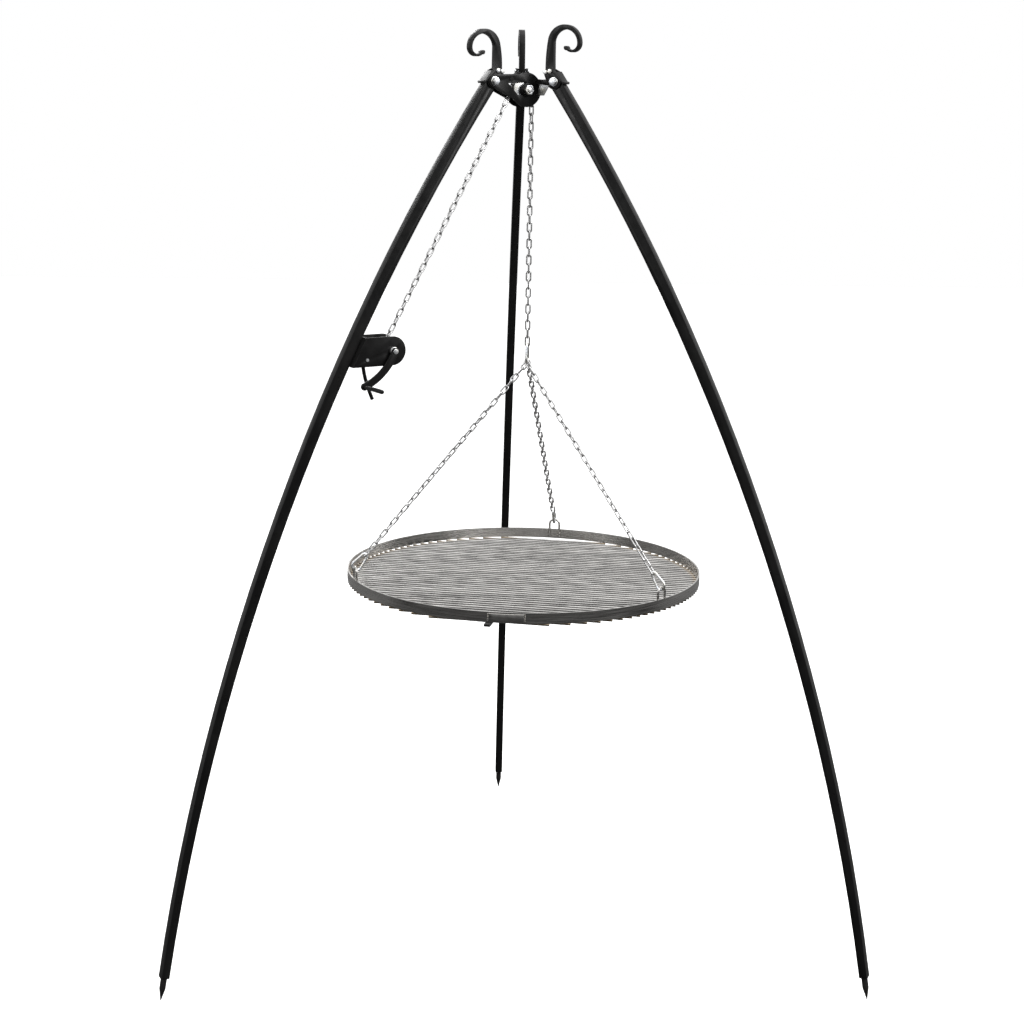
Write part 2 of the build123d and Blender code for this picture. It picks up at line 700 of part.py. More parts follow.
# the lock hook hangs from the cross pin, beside the drum
hook_side = -6.0
with BuildPart() as lock_hook:
    eye_r, eye_z = hook_pin_spot
    with BuildLine(leg_plane(left, hook_side)) as rod_line:
        bend = ThreePointArc((eye_r + 1, eye_z - 5), (eye_r - 4.5, eye_z - 36), (eye_r - 13, eye_z - 61))
        Line(bend @ 1, bend @ 1 + (bend % 1) * 17)
    with BuildSketch(Plane(origin=rod_line.line @ 0, x_dir=across, z_dir=rod_line.line % 0)):
        Circle(3.4)
    sweep()
    with BuildSketch(leg_plane(left, hook_side)):
        with Locations(hook_pin_spot):
            Circle(7.5)
    extrude(amount=4.0, both=True)
    with BuildSketch(leg_plane(left, hook_side)):
        with Locations(hook_pin_spot):
            Circle(2.98 + running)
    extrude(amount=10.0, both=True, mode=Mode.SUBTRACT)
save(lock_hook.part, "lock_hook")

with BuildPart() as winch_drum:
    with BuildSketch(leg_plane(left)):
        with Locations((winch_r, winch_z)):
            Circle(barrel_radius)
    extrude(amount=drum_half, both=True)
    for side in (drum_half, -drum_half - 2):
        with BuildSketch(leg_plane(left, side)):
            with Locations((winch_r, winch_z)):
                Circle(drum_flange)
        extrude(amount=2)
    with BuildSketch(leg_plane(left)):
        with Locations((winch_r, winch_z)):
            Circle(axle_radius + 0.02)
    extrude(amount=30, both=True, mode=Mode.SUBTRACT)
save(winch_drum.part, "winch_drum")

arm_face = -winch_half - crank_gap - crank_plate  # outer face of the crank arm
with BuildPart() as winch_axle:
    with BuildSketch(leg_plane(left, arm_face - 1.5)):
        with Locations((winch_r, winch_z)):
            Circle(axle_radius)
    extrude(amount=-arm_face + 1.5 + winch_half + 3)
    with BuildSketch(leg_plane(left, -winch_half - crank_gap)):
        with Locations((winch_r, winch_z)):
            Circle(8.0)
            Circle(axle_radius, mode=Mode.SUBTRACT)
    extrude(amount=crank_gap - free_gap)
    with BuildSketch(leg_plane(left, winch_half + free_gap)):
        with Locations((winch_r, winch_z)):
            Circle(8.0)
            Circle(axle_radius, mode=Mode.SUBTRACT)
    extrude(amount=4)
save(winch_axle.part, "winch_axle")

crank_line = ThreePointArc((winch_r, winch_z),
                           ((winch_r + crank_end_r) / 2 - crank_bow * 0.69,
                            (winch_z + crank_end_z) / 2 - crank_bow * 0.72),
                           (crank_end_r, crank_end_z))
with BuildPart() as crank_arm:
    with BuildSketch(leg_plane(left, arm_face)):
        SlotArc(crank_line, crank_width)
        with Locations((winch_r, winch_z)):
            Circle(axle_radius + 0.02, mode=Mode.SUBTRACT)
        with Locations((crank_end_r, crank_end_z)):
            Circle(3.0, mode=Mode.SUBTRACT)
    extrude(amount=crank_plate)
save(crank_arm.part, "crank_arm")

with BuildPart() as crank_handle:
    with BuildSketch(leg_plane(left, arm_face - handle_length)):
        with Locations((crank_end_r, crank_end_z)):
            Circle(handle_radius)
    extrude(amount=handle_length)
    fillet(crank_handle.edges().filter_by(GeomType.CIRCLE).sort_by(Axis.Y)[0], 2.5)
    with BuildSketch(leg_plane(left, arm_face)):
        with Locations((crank_end_r, crank_end_z)):
            Circle(2.98)
    extrude(amount=crank_plate + 1.2)
    with BuildSketch(leg_plane(left, arm_face + crank_plate)):
        with Locations((crank_end_r, crank_end_z)):
            Circle(4.2)
    extrude(amount=1.2)
save(crank_handle.part, "crank_handle")

# ================================ carabiner ===================================================
# Pear shaped, drawn upright with its big end's centre at the origin and its gate on +X.
slant = asin((hook_big - hook_small) / hook_span)
big_tangent = Vector(hook_big * cos(slant), 0, hook_big * sin(slant))
small_tangent = Vector(hook_small * cos(slant), 0, hook_span + hook_small * sin(slant))
gate_way = (big_tangent - small_tangent).normalized()
gate_pin = small_tangent + gate_way * 2.4
nose = big_tangent - gate_way * 1.0

with BuildPart() as hook_body:
    with BuildLine(Plane.XZ):
        Line((nose.X, nose.Z), (big_tangent.X, big_tangent.Z))
        ThreePointArc((big_tangent.X, big_tangent.Z), (0, -hook_big), (-big_tangent.X, big_tangent.Z))
        Line((-big_tangent.X, big_tangent.Z), (-small_tangent.X, small_tangent.Z))
        ThreePointArc((-small_tangent.X, small_tangent.Z), (0, hook_span + hook_small),
                      (small_tangent.X, small_tangent.Z))
    with BuildSketch(Plane(origin=nose, z_dir=gate_way)):
        Circle(hook_wire)
    sweep()
    # tongue for the gate's pin
    with BuildSketch(Plane(origin=gate_pin, x_dir=gate_way, z_dir=(0, -1, 0))):
        Circle(1.9)
        with Locations((-1.8, 0)):
            Rectangle(3.6, 3.8)
        Circle(gate_pin_radius + running, mode=Mode.SUBTRACT)
    extrude(amount=tongue_half, both=True)

with BuildPart() as hook_gate:
    gate_length = (nose - gate_pin).length - 0.5
    with BuildSketch(Plane(origin=gate_pin, z_dir=gate_way)):
        Circle(hook_wire)
    extrude(amount=gate_length)
    with BuildSketch(Plane(origin=gate_pin, x_dir=gate_way, z_dir=(0, -1, 0))):
        Circle(1.9)
    extrude(amount=1.95, both=True)
    with BuildSketch(Plane(origin=gate_pin, x_dir=gate_way, z_dir=(0, -1, 0))):
        Circle(2.6)
        with Locations((-3, 0)):
            Rectangle(6, 8)
    extrude(amount=slot_half_gate, both=True, mode=Mode.SUBTRACT)
    with BuildSketch(Plane(origin=gate_pin, x_dir=gate_way, z_dir=(0, -1, 0))):
        Circle(gate_pin_radius)
    extrude(amount=1.95, both=True)


def save_carabiner(spot, hook_name, gate_name):
    for shape, name in ((hook_body, hook_name), (hook_gate, gate_name)):
        with BuildPart() as carabiner:
            with Locations(spot):
                add(shape.part)
        save(carabiner.part, name)


save_carabiner(Location(Plane(origin=hoist, x_dir=hoist_wide, z_dir=(0, 0, 1))),
               "hoist_carabiner", "hoist_gate")

# ================================ grate =======================================================
middle = Vector(hang.X, hang.Y, 0)
rod_way = Vector(cos(radians(grate_turned)), sin(radians(grate_turned)), 0)
rod_across = Vector(-rod_way.Y, rod_way.X, 0)
rim_low = rim_top - rim_height
rod_z = rim_low - rod_radius
rod_count = int((rim_radius - 10) / rod_pitch)

with BuildPart() as grate_rim:
    with BuildSketch(Plane(origin=middle + Vector(0, 0, rim_low))):
        Circle(rim_radius)
        Circle(rim_radius - rim_plate, mode=Mode.SUBTRACT)
    extrude(amount=rim_height)
save(grate_rim.part, "grate_rim")

with BuildPart() as grate_rods:
    for i in range(-rod_count, rod_count + 1):
        half = sqrt((rim_radius - 1.0) ** 2 - (i * rod_pitch) ** 2)
        rod_middle = middle + rod_across * (i * rod_pitch) + Vector(0, 0, rod_z)
        with BuildSketch(Plane(origin=rod_middle, z_dir=rod_way)):
            Circle(rod_radius)
        extrude(amount=half, both=True)
save(grate_rods.part, "grate_rods")

with BuildPart() as cross_bar:
    with BuildSketch(Plane(origin=middle + Vector(0, 0, rod_z - rod_radius - bar_height), x_dir=rod_across)):
        Rectangle(2 * rim_radius - 8, bar_width)
    extrude(amount=bar_height)
save(cross_bar.part, "cross_bar")

lap_half = degrees(lap_length / 2 / rim_radius)
with BuildPart() as rim_lap_plate:
    with BuildSketch(Plane(origin=middle + Vector(0, 0, rim_low + (rim_height - lap_height) / 2))):
        with BuildLine():
            def at(radius, angle):
                return (radius * cos(radians(angle)), radius * sin(radians(angle)))
            low_side, high_side = lap_azimuth - lap_half, lap_azimuth + lap_half
            ThreePointArc(at(rim_radius, low_side), at(rim_radius, lap_azimuth), at(rim_radius, high_side))
            Line(at(rim_radius, high_side), at(rim_radius + lap_plate, high_side))
            ThreePointArc(at(rim_radius + lap_plate, high_side), at(rim_radius + lap_plate, lap_azimuth),
                          at(rim_radius + lap_plate, low_side))
            Line(at(rim_radius + lap_plate, low_side), at(rim_radius, low_side))
        make_face()
    extrude(amount=lap_height)
save(rim_lap_plate.part, "rim_lap_plate")

bail_azimuths = {"a": hoist_azimuth, "b": hoist_azimuth + 120, "c": hoist_azimuth + 240}
bail_r = sqrt((rim_radius - rim_plate - bail_wire - 0.01) ** 2 - bail_half ** 2)
with BuildPart() as hanging_bails:
    for azimuth in bail_azimuths.values():
        outward = Vector(cos(radians(azimuth)), sin(radians(azimuth)), 0)
        round_way = Vector(0, 0, 1).cross(outward)
        foot = middle + outward * bail_r
        low = rim_low + 4.0
        with BuildLine(Plane(origin=foot, x_dir=round_way, z_dir=round_way.cross(Vector(0, 0, 1)))):
            Line((-bail_half, low), (-bail_half, bail_z))
            ThreePointArc((-bail_half, bail_z), (0, bail_z + bail_half), (bail_half, bail_z))
            Line((bail_half, bail_z), (bail_half, low))
        with BuildSketch(Plane(origin=foot - round_way * bail_half + Vector(0, 0, low), z_dir=(0, 0, 1))):
            Circle(bail_wire)
        sweep()
save(hanging_bails.part, "hanging_bails")

# three chains from the hoist carabiner's big end to a carabiner on each bail
chain_starts = {"a": 41.0, "b": -2.0, "c": -43.0}
for name, azimuth in bail_azimuths.items():
    outward = Vector(cos(radians(azimuth)), sin(radians(azimuth)), 0)
    round_way = Vector(0, 0, 1).cross(outward)
    crown = middle + outward * bail_r + Vector(0, 0, bail_z + bail_half)
    lean = radians(chain_starts[name])
    pull = hoist_wide * sin(lean) - Vector(0, 0, cos(lean))
    wire_way = hoist_wide * cos(lean) + Vector(0, 0, sin(lean))
    up = (hoist + pull * hook_big - crown).normalized()
    start = hoist + pull * hook_big + up * hook_back
    ring = crown + up * (hook_big - bail_wire - hook_wire - 0.35)
    inward = up.cross(round_way)
    end = ring + up * (hook_span + hook_small - hook_back)
    save_chain(link_places(start, end, wire_way.cross(up), round_way), f"bridle_chain_{name}")
    save_carabiner(Location(Plane(origin=ring, x_dir=inward, z_dir=up)),
                   f"hook_carabiner_{name}", f"hook_gate_{name}")
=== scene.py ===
import json
import math
import random

import bmesh
import bpy
from mathutils import Matrix, Vector


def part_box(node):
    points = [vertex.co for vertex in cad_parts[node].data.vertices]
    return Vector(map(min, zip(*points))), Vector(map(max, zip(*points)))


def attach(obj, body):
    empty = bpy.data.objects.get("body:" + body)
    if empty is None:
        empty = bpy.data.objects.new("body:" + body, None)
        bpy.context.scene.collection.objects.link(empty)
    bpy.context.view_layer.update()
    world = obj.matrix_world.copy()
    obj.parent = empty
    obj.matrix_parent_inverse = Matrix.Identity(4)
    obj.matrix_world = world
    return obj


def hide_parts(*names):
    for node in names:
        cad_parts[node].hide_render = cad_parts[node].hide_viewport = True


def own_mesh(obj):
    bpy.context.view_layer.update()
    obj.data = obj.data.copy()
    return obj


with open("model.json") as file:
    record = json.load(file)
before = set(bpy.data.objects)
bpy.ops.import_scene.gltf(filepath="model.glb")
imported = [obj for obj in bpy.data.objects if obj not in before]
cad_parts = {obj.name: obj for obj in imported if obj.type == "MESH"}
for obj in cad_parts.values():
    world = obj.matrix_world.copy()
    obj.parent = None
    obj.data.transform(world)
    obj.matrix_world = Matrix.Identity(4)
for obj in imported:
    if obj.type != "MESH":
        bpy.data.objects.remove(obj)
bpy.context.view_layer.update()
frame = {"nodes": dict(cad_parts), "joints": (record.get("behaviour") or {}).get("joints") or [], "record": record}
nodes = frame["nodes"]
record = frame["record"]
joints = {j["name"]: j for j in frame["joints"]}
random.seed(7)

# ---- places read from the frame --------------------------------------------------------------
tripod = Vector(joints["pulley_turn"]["pos_m"])          # pulley axle, on the tripod's own axis
rim_low, rim_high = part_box("grate_rim")
grate_middle = (rim_low + rim_high) / 2
rim_radius = (rim_high.x - rim_low.x) / 2
grate_turned = math.radians(-13.5)                       # the rods' direction, seen from above

# ---- camera ----------------------------------------------------------------------------------
camera_back, camera_height = 3.932, 1.727
camera_yaw, camera_pitch, camera_roll = 0.0019, 0.2183, -0.01605  # radians
tripod_turned = math.radians(2.352)                      # the tripod stands turned to the camera
lens_mm = 71.67

turned = Matrix.Rotation(-tripod_turned, 3, "Z")
aimed = turned @ Matrix.Rotation(camera_yaw, 3, "Z")
look = aimed @ Vector((0, math.cos(camera_pitch), -math.sin(camera_pitch)))
right = aimed @ Vector((1, 0, 0))
down = look.cross(right)
right_rolled = right * math.cos(camera_roll) + down * math.sin(camera_roll)
down_rolled = down * math.cos(camera_roll) - right * math.sin(camera_roll)
camera_data = bpy.data.cameras.new("camera")
camera = bpy.data.objects.new("camera", camera_data)
bpy.context.scene.collection.objects.link(camera)
place = turned @ Vector((0, -camera_back, 0)) + Vector((tripod.x, tripod.y, camera_height))
axes = Matrix((right_rolled, -down_rolled, -look)).transposed()
camera.matrix_world = Matrix.Translation(place) @ axes.to_4x4()
camera_data.lens = lens_mm
camera_data.sensor_width = 36
camera_data.clip_end = 50                                # metres, past the floor's far edge
bpy.context.scene.camera = camera


# ================================ materials ===================================================
class Recipe:
    """A material and short calls that add its nodes."""

    def __init__(self, name):
        self.material = bpy.data.materials.new(name)
        self.material.use_nodes = True
        self.tree = self.material.node_tree
        self.shader = self.tree.nodes["Principled BSDF"]
        self.place = self.tree.nodes.new("ShaderNodeTexCoord").outputs["Object"]

    def link(self, a, b):
        self.tree.links.new(a, b)

    def set(self, **values):
        for name, value in values.items():
            self.shader.inputs[name.replace("_", " ")].default_value = value

    def noise(self, scale, detail=4.0, rough=0.6, stretch=None):
        node = self.tree.nodes.new("ShaderNodeTexNoise")
        node.inputs["Scale"].default_value = scale
        node.inputs["Detail"].default_value = detail
        node.inputs["Roughness"].default_value = rough
        where = self.place
        if stretch is not None:
            where = self.stretched(stretch)
        self.link(where, node.inputs["Vector"])
        return node.outputs["Fac"]

    def stretched(self, stretch, turn=0.0):
        node = self.tree.nodes.new("ShaderNodeMapping")
        node.inputs["Scale"].default_value = stretch
        node.inputs["Rotation"].default_value = (0, 0, turn)
        self.link(self.place, node.inputs["Vector"])
        return node.outputs["Vector"]

    def cells(self, scale):
        node = self.tree.nodes.new("ShaderNodeTexVoronoi")
        node.inputs["Scale"].default_value = scale
        self.link(self.place, node.inputs["Vector"])
        return node.outputs["Distance"]

    def ramp(self, value, stops):
        node = self.tree.nodes.new("ShaderNodeValToRGB")
        ramp = node.color_ramp
        while len(ramp.elements) < len(stops):
            ramp.elements.new(0.5)
        for element, (position, colour) in zip(ramp.elements, stops):
            element.position = position
            element.color = (*colour, 1)
        self.link(value, node.inputs["Fac"])
        return node.outputs["Color"]

    def range(self, value, low, high, start=0.0, end=1.0):
        node = self.tree.nodes.new("ShaderNodeMapRange")
        for name, number in (("From Min", start), ("From Max", end), ("To Min", low), ("To Max", high)):
            node.inputs[name].default_value = number
        self.link(value, node.inputs["Value"])
        return node.outputs["Result"]

    def mix(self, share, a, b):
        node = self.tree.nodes.new("ShaderNodeMix")
        node.data_type = "RGBA"
        self.link(share, node.inputs["Factor"])
        for value, socket in ((a, node.inputs[6]), (b, node.inputs[7])):
            if isinstance(value, tuple):
                socket.default_value = (*value, 1)
            else:
                self.link(value, socket)
        return node.outputs[2]

    def colour(self, value):
        self.link(value, self.shader.inputs["Base Color"])

    def roughness(self, value):
        self.link(value, self.shader.inputs["Roughness"])

    def bumps(self, *layers):
        """Each layer is a height and its depth in metres."""
        normal = None
        for height, depth in layers:
            node = self.tree.nodes.new("ShaderNodeBump")
            node.inputs["Distance"].default_value = depth
            self.link(height, node.inputs["Height"])
            if normal is not None:
                self.link(normal, node.inputs["Normal"])
            normal = node.outputs["Normal"]
        self.link(normal, self.shader.inputs["Normal"])


def powder_coat(name, shade, gloss):
    """Black powder coat: fine orange peel, small sparkle of the resin, faint dust."""
    recipe = Recipe(name)
    dust = recipe.noise(9.0, 6.0)
    deep = tuple(shade * x for x in (1.0, 1.0, 1.04))
    pale = tuple(shade * x for x in (2.2, 2.15, 2.1))
    recipe.colour(recipe.ramp(dust, [(0.35, deep), (0.75, pale)]))
    recipe.roughness(recipe.range(recipe.noise(60.0, 5.0), gloss - 0.07, gloss + 0.09, 0.3, 0.7))
    recipe.set(Specular_IOR_Level=0.16)
    recipe.bumps((recipe.noise(900.0, 2.0), 0.00002), (recipe.cells(420.0), 0.00001))
    return recipe.material


def bare_steel(name):
    """Forged and blackened steel of spikes, drum and cross bar, with dull worn patches."""
    recipe = Recipe(name)
    wear = recipe.noise(55.0, 7.0, 0.7)
    worn = [(0.42, (0.009, 0.009, 0.01)), (0.62, (0.018, 0.017, 0.016)), (0.8, (0.07, 0.066, 0.062))]
    recipe.colour(recipe.ramp(wear, worn))
    recipe.roughness(recipe.range(wear, 0.52, 0.3, 0.4, 0.75))
    recipe.set(Metallic=0.2, Specular_IOR_Level=0.35)
    recipe.bumps((recipe.noise(300.0, 4.0), 0.00012))
    return recipe.material


def zinc_plate(name, shade=0.68):
    """Bright zinc plating: cool silver with a faint yellow and blue cast, and fine scratches."""
    recipe = Recipe(name)
    cast = recipe.noise(70.0, 3.0)
    cool = (shade * 0.97, shade, shade * 1.05)
    warm = (shade * 1.03, shade, shade * 0.9)
    recipe.colour(recipe.mix(recipe.range(cast, 0.0, 1.0, 0.4, 0.66), cool, warm))
    scratches = recipe.noise(160.0, 3.0, 0.5, (1.0, 1.0, 5.0))
    recipe.roughness(recipe.range(scratches, 0.3, 0.4, 0.3, 0.7))
    recipe.set(Metallic=1.0)
    recipe.bumps((scratches, 0.000008))
    return recipe.material


def chain_plate(name):
    """Zinc-plated chain wire: brighter where links rub, duller in between."""
    recipe = Recipe(name)
    dull = recipe.noise(130.0, 5.0, 0.65)
    shades = [(0.3, (0.3, 0.295, 0.29)), (0.55, (0.56, 0.56, 0.56)), (0.8, (0.74, 0.74, 0.75))]
    recipe.colour(recipe.ramp(dull, shades))
    recipe.roughness(recipe.range(dull, 0.42, 0.22, 0.3, 0.7))
    recipe.set(Metallic=1.0)
    recipe.bumps((recipe.noise(700.0, 3.0), 0.00006))
    return recipe.material


def stainless(name, stretch, dark, light, turn=0.0, tinted=True):
    """Drawn stainless steel: long fine lines, and straw tint from the welds by the rim."""
    recipe = Recipe(name)
    lines = recipe.tree.nodes.new("ShaderNodeTexNoise")
    lines.inputs["Scale"].default_value = 60.0
    lines.inputs["Detail"].default_value = 5.0
    recipe.link(recipe.stretched(stretch, turn), lines.inputs["Vector"])
    lines = lines.outputs["Fac"]
    body = recipe.ramp(lines, [(0.3, dark), (0.7, light)])
    if tinted:
        # distance from the grate's middle: the tint lies in the last few millimetres
        shift = recipe.tree.nodes.new("ShaderNodeVectorMath")
        shift.operation = "SUBTRACT"
        shift.inputs[1].default_value = grate_middle
        recipe.link(recipe.place, shift.inputs[0])
        flat = recipe.tree.nodes.new("ShaderNodeVectorMath")
        flat.operation = "MULTIPLY"
        flat.inputs[1].default_value = (1, 1, 0)
        recipe.link(shift.outputs[0], flat.inputs[0])
        length = recipe.tree.nodes.new("ShaderNodeVectorMath")
        length.operation = "LENGTH"
        recipe.link(flat.outputs[0], length.inputs[0])
        near = recipe.range(length.outputs["Value"], 0.0, 0.75, rim_radius - 0.016, rim_radius - 0.003)
        body = recipe.mix(near, body, (0.3, 0.22, 0.13))
    recipe.colour(body)
    recipe.roughness(recipe.range(lines, 0.2, 0.36, 0.3, 0.7))
    recipe.set(Metallic=1.0)
    recipe.bumps((lines, 0.00001), (recipe.noise(12.0, 2.0), 0.00006))
    return recipe.material


def weld_metal(name, dark, light):
    """Weld beads: rippled, with a dull heat tint."""
    recipe = Recipe(name)
    tint = recipe.noise(160.0, 4.0)
    recipe.colour(recipe.ramp(tint, [(0.3, dark), (0.5, light), (0.7, tuple(0.6 * x for x in light))]))
    recipe.roughness(recipe.range(tint, 0.3, 0.5, 0.3, 0.7))
    recipe.set(Metallic=0.9)
    recipe.bumps((recipe.noise(500.0, 4.0), 0.0002))
    return recipe.material


looks = {
    "black_coat": powder_coat("black_coat", 0.0045, 0.32),
    "black_steel": bare_steel("black_steel"),
    "zinc": zinc_plate("zinc"),
    "chain_zinc": chain_plate("chain_zinc"),
    "snap_hook": zinc_plate("snap_hook", 0.74),
    "stainless": stainless(
        "stainless", (0.25, 0.25, 9.0), (0.4, 0.39, 0.375), (0.48, 0.47, 0.455), tinted=False
    ),
}
rod_steel = stainless("rod_steel", (0.04, 1.3, 1.3), (0.2, 0.195, 0.19), (0.5, 0.49, 0.475), -grate_turned)
bar_steel = bare_steel("bar_steel")
stainless_weld = weld_metal("stainless_weld", (0.16, 0.16, 0.17), (0.38, 0.36, 0.33))
for entry in record["subparts"]:
    obj = nodes[entry["node"]]
    obj.data.materials.clear()
    obj.data.materials.append(looks[entry["material_slot"]])
nodes["grate_rods"].data.materials[0] = rod_steel
nodes["cross_bar"].data.materials[0] = bar_steel
body_of = {n: b for b, members in record["behaviour"]["bodies"].items() for n in members}


# ================================ softened sheet and bar edges ================================
def merged(mesh):
    """A bmesh of a CAD node with shared corners joined and flat faces made whole."""
    work = bmesh.new()
    work.from_mesh(mesh)
    bmesh.ops.remove_doubles(work, verts=work.verts, dist=1e-6)
    bmesh.ops.dissolve_limit(
        work, angle_limit=math.radians(1.0), verts=work.verts, edges=work.edges, use_dissolve_boundaries=False
    )
    return work


def soften(node, width):
    """Stands in for a CAD node with its edges rounded over, as the real piece's are."""
    work = merged(nodes[node].data)
    mesh = bpy.data.meshes.new(node + "_soft")
    work.to_mesh(mesh)
    work.free()
    piece = bpy.data.objects.new(node + "_soft", mesh)
    bpy.context.scene.collection.objects.link(piece)
    mesh.materials.append(nodes[node].data.materials[0])
    bevel = piece.modifiers.new("edges", "BEVEL")
    bevel.width = width
    bevel.segments = 3
    bevel.limit_method = "ANGLE"
    bevel.angle_limit = math.radians(35.0)               # flats that meet at less are a curve
    bevel.harden_normals = True
    for polygon in mesh.polygons:
        polygon.use_smooth = True
    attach(piece, body_of[node])
    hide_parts(node)


softened = {                                             # edge width in metres, and the nodes
    0.0016: ["leg_tube_left", "leg_tube_right", "leg_tube_rear"],
    0.0010: ["scroll_left", "scroll_right", "scroll_rear", "crank_arm", "winch_housing"],
    0.0007: ["fork_left", "fork_right", "fork_rear", "pulley_cheek_front", "pulley_cheek_back",
             "hub_arm_right", "hub_arm_rear", "cross_bar", "pivot_bolts", "pivot_nuts", "pulley_axle",
             "pulley_nut", "winch_bolts", "pivot_washers", "scroll_screws", "rim_lap_plate", "winch_axle",
             "winch_drum", "pulley"],
    0.0004: ["hub_web_right", "hub_web_rear"],
}
for width, names in softened.items():
    for name in names:
        soften(name, width)


# ================================ welds =======================================================
def add_piece(name, mesh, material, body):
    """Links a mesh of this script's own as a piece of a body."""
    mesh.materials.append(material)
    for polygon in mesh.polygons:
        polygon.use_smooth = True
    piece = bpy.data.objects.new(name, mesh)
    bpy.context.scene.collection.objects.link(piece)
    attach(piece, body)
    return piece


def bead(work, place, along, length, width, rise):
    """One weld bead: a lens of metal, long along one direction and uneven by a little."""
    side = along.cross(Vector((0, 0, 1)))
    if side.length < 0.1:
        side = along.cross(Vector((1, 0, 0)))
    side.normalize()
    up = side.cross(along).normalized()
    vary = random.uniform(0.85, 1.15)
    frame_axes = Matrix((along * length / 2 * vary, side * width / 2, up * rise / 2 / vary)).transposed()
    bmesh.ops.create_uvsphere(
        work, u_segments=10, v_segments=7, radius=1.0,
        matrix=Matrix.Translation(place) @ frame_axes.to_4x4()
    )


def ring_of_beads(work, middle, axis, radius, count, size):
    """Overlapping beads round a joint, as a welder lays them."""
    first = axis.orthogonal().normalized()
    for i in range(count):
        spoke = Matrix.Rotation(2 * math.pi * i / count, 3, axis) @ first
        bead(work, middle + spoke * radius, axis.cross(spoke), size * 1.5, size, size)


rod_direction = Vector((math.cos(grate_turned), math.sin(grate_turned), 0))
rod_side = Vector((-rod_direction.y, rod_direction.x, 0))
rim_plate, rod_radius, rod_pitch = 0.003, 0.0025, 0.015
inner = rim_radius - rim_plate
rods = int((rim_radius - 0.01) / rod_pitch)              # each side of the middle one
grate_centre = Vector((grate_middle.x, grate_middle.y, 0))
upright = Vector((0, 0, 1))
rim_foot = rim_low.z
bar_top = rim_foot - 2 * rod_radius
bar_side = 0.0062                                        # from the cross bar's middle to its welds
bar_end = 0.006                                          # the bar stops this far inside the rim
rod_weld = (0.0066, 0.0036, 0.0028)                      # length, width and rise of one bead
bar_weld = (0.0058, 0.0024, 0.002)
bail_weld = (0.007, 0.0026, 0.0026)
lap_weld = (0.0042, 0.003, 0.0022)
spike_weld = 0.0026
rod_end = 0.0008                                         # the rods' welds lie this far inside the rim
bail_half = 0.0105                                       # half the width between a bail's legs
bail_inset = 0.0012                                      # the bails' welds lie this far inside the rim,
bail_beside = 0.0026                                     # this far to one side of the wire,
bail_rises = (0.0065, 0.0115)                            # and at these heights above its lower edge
lap_beads, lap_first, lap_step = 5, 0.004, 0.003         # up each end of the lap plate
spike_beads, spike_ring = 14, 0.0066                     # round each foot spike

work = bmesh.new()
for i in range(-rods, rods + 1):
    half = math.sqrt((inner - rod_end) ** 2 - (i * rod_pitch) ** 2)
    for end in (-1, 1):
        spot = grate_centre + rod_side * (i * rod_pitch) + rod_direction * (end * half)
        spot.z = rim_foot - 0.0002
        outward = spot - grate_centre
        outward.z = 0
        bead(work, spot, outward.normalized().cross(upright), *rod_weld)
        spot = grate_centre + rod_side * (i * rod_pitch) + rod_direction * (end * bar_side)
        spot.z = bar_top + 0.0006
        if abs(i * rod_pitch) < rim_radius - bar_end:
            bead(work, spot, rod_side, *bar_weld)
for i in range(3):                                       # the three bails
    outward = Matrix.Rotation(grate_turned + math.radians(90 + 120 * i), 3, "Z") @ Vector((1, 0, 0))
    round_way = upright.cross(outward)
    for side in (-1, 1):
        for rise in bail_rises:
            along_rim = round_way * (side * bail_half + bail_beside)
            spot = grate_centre + outward * (inner - bail_inset) + along_rim
            bead(work, Vector((spot.x, spot.y, rim_foot + rise)), upright, *bail_weld)
lap_middle = math.radians(-97.5)                         # of the plate over the rim's joint
lap_half, lap_gap = 0.033, 0.0012                        # half the plate's length, and on to its weld
for end in (-1, 1):
    angle = lap_middle + end * (lap_half / rim_radius + lap_gap / rim_radius)
    outward = Vector((math.cos(angle), math.sin(angle), 0))
    for step in range(lap_beads):
        spot = grate_centre + outward * (rim_radius + 0.0004)
        bead(work, Vector((spot.x, spot.y, rim_foot + lap_first + lap_step * step)), upright, *lap_weld)
weld_mesh = bpy.data.meshes.new("grate_welds")
work.to_mesh(weld_mesh)
work.free()
add_piece("grate_welds", weld_mesh, stainless_weld, body_of["grate_rim"])

for mount in record["mounts"]:
    if not mount["name"].startswith("ground_spike"):
        continue
    leg = mount["name"].replace("ground_spike_", "")
    axis = Vector(mount["axis"]).normalized()
    tube_end = Vector(mount["pos_m"]) - axis * (mount["dims"]["length_mm"] / 2000)
    work = bmesh.new()
    ring_of_beads(work, tube_end + axis * 0.0006, axis, spike_ring, spike_beads, spike_weld)
    weld_mesh = bpy.data.meshes.new("spike_weld_" + leg)
    work.to_mesh(weld_mesh)
    work.free()
    add_piece("spike_weld_" + leg, weld_mesh, looks["black_coat"], body_of["foot_spike_" + leg])


# ================================ chains that shorten =========================================
def loose_links(node):
    """Meshes of the separate links of a chain node, from the top down."""
    work = bmesh.new()
    work.from_mesh(nodes[node].data)
    bmesh.ops.remove_doubles(work, verts=work.verts, dist=1e-6)
    work.verts.ensure_lookup_table()
    left = set(work.verts)
    links = []
    while left:
        heap = [left.pop()]
        island = list(heap)
        while heap:
            for edge in heap.pop().link_edges:
                for vert in edge.verts:
                    if vert in left:
                        left.discard(vert)
                        heap.append(vert)
                        island.append(vert)
        links.append(sorted(island, key=lambda v: v.index))
    links.sort(key=lambda island: -sum(v.co.z for v in island) / len(island))
    found = []
    for island in links:
        number = {vert: i for i, vert in enumerate(island)}
        faces = sorted({f for v in island for f in v.link_faces}, key=lambda f: f.index)
        found.append(([v.co.copy() for v in island], [[number[v] for v in f.verts] for f in faces]))
    work.free()
    return found


